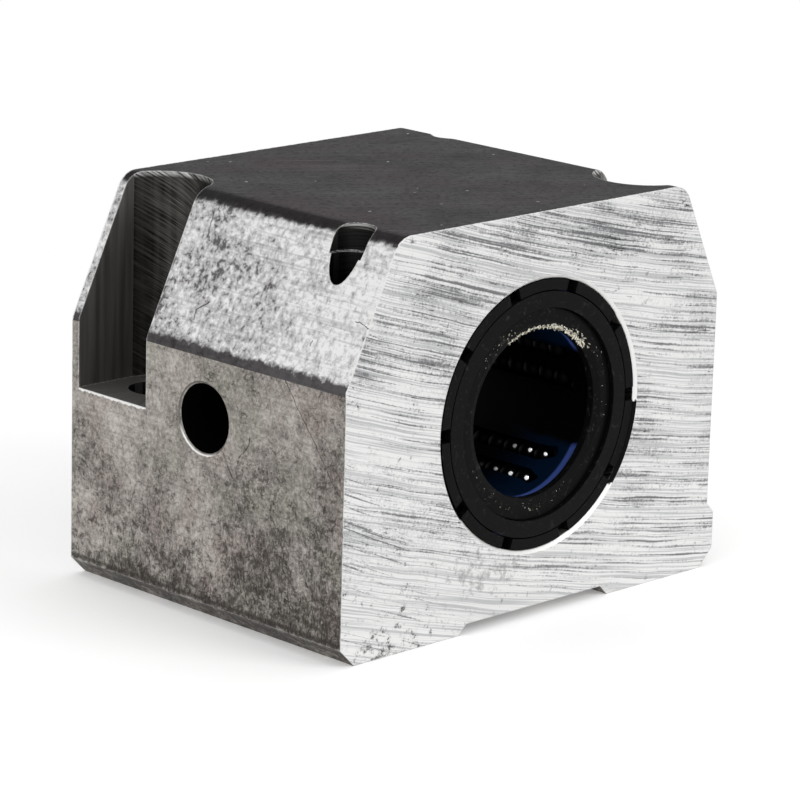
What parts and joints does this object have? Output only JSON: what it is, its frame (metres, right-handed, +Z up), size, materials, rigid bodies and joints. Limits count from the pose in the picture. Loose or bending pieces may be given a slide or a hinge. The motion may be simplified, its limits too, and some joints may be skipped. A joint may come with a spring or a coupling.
{
  "type": "linear bearing block",
  "caption": "Aluminium shaft-support block with sloped shoulders, side screw pockets and a sealed, self-aligning recirculating ball bearing in its through bore.",
  "frame": {"origin": "middle of the footprint, on the mounting plane", "axes": "+Z up from the mounting plane, +Y along the shaft, +X across the block towards its locating edge"},
  "size_m": [0.078, 0.058, 0.06],
  "materials": {
    "housing_aluminium": "sawn and milled, grey with age",
    "cage_plastic": "moulded, oiled",
    "plate_steel": "hardened and ground",
    "ball_steel": "polished",
    "end_ring_plastic": "moulded",
    "carrier_plastic": "moulded",
    "seal_rubber": "matte"
  },
  "bodies": {
    "block": {"housing": "housing_aluminium", "ball_cage": "cage_plastic", "return_balls_1": "ball_steel", "return_balls_2": "ball_steel", "return_balls_3": "ball_steel", "return_balls_4": "ball_steel", "return_balls_5": "ball_steel", "end_rings": "end_ring_plastic", "seal_carriers": "carrier_plastic", "seals": "seal_rubber"},
    "segment_1": {"raceway_plate_1": "plate_steel", "loaded_balls_1": "ball_steel"},
    "segment_2": {"raceway_plate_2": "plate_steel", "loaded_balls_2": "ball_steel"},
    "segment_3": {"raceway_plate_3": "plate_steel", "loaded_balls_3": "ball_steel"},
    "segment_4": {"raceway_plate_4": "plate_steel", "loaded_balls_4": "ball_steel"},
    "segment_5": {"raceway_plate_5": "plate_steel", "loaded_balls_5": "ball_steel"}
  },
  "joints": [
    {"name": "segment_1_tilt", "type": "hinge", "parent": "block", "child": "segment_1", "pos_m": [0.01176, 0, 0.01382], "axis": [0.809, 0, 0.5878], "range_deg": [-0.5, 0.5]},
    {"name": "segment_2_tilt", "type": "hinge", "parent": "block", "child": "segment_2", "pos_m": [0.01902, 0, 0.03618], "axis": [-0.309, 0, 0.9511], "range_deg": [-0.5, 0.5]},
    {"name": "segment_3_tilt", "type": "hinge", "parent": "block", "child": "segment_3", "pos_m": [0, 0, 0.05], "axis": [-1, 0, 0], "range_deg": [-0.5, 0.5]},
    {"name": "segment_4_tilt", "type": "hinge", "parent": "block", "child": "segment_4", "pos_m": [-0.01902, 0, 0.03618], "axis": [-0.309, 0, -0.9511], "range_deg": [-0.5, 0.5]},
    {"name": "segment_5_tilt", "type": "hinge", "parent": "block", "child": "segment_5", "pos_m": [-0.01176, 0, 0.01382], "axis": [0.809, 0, -0.5878], "range_deg": [-0.5, 0.5]}
  ]
}
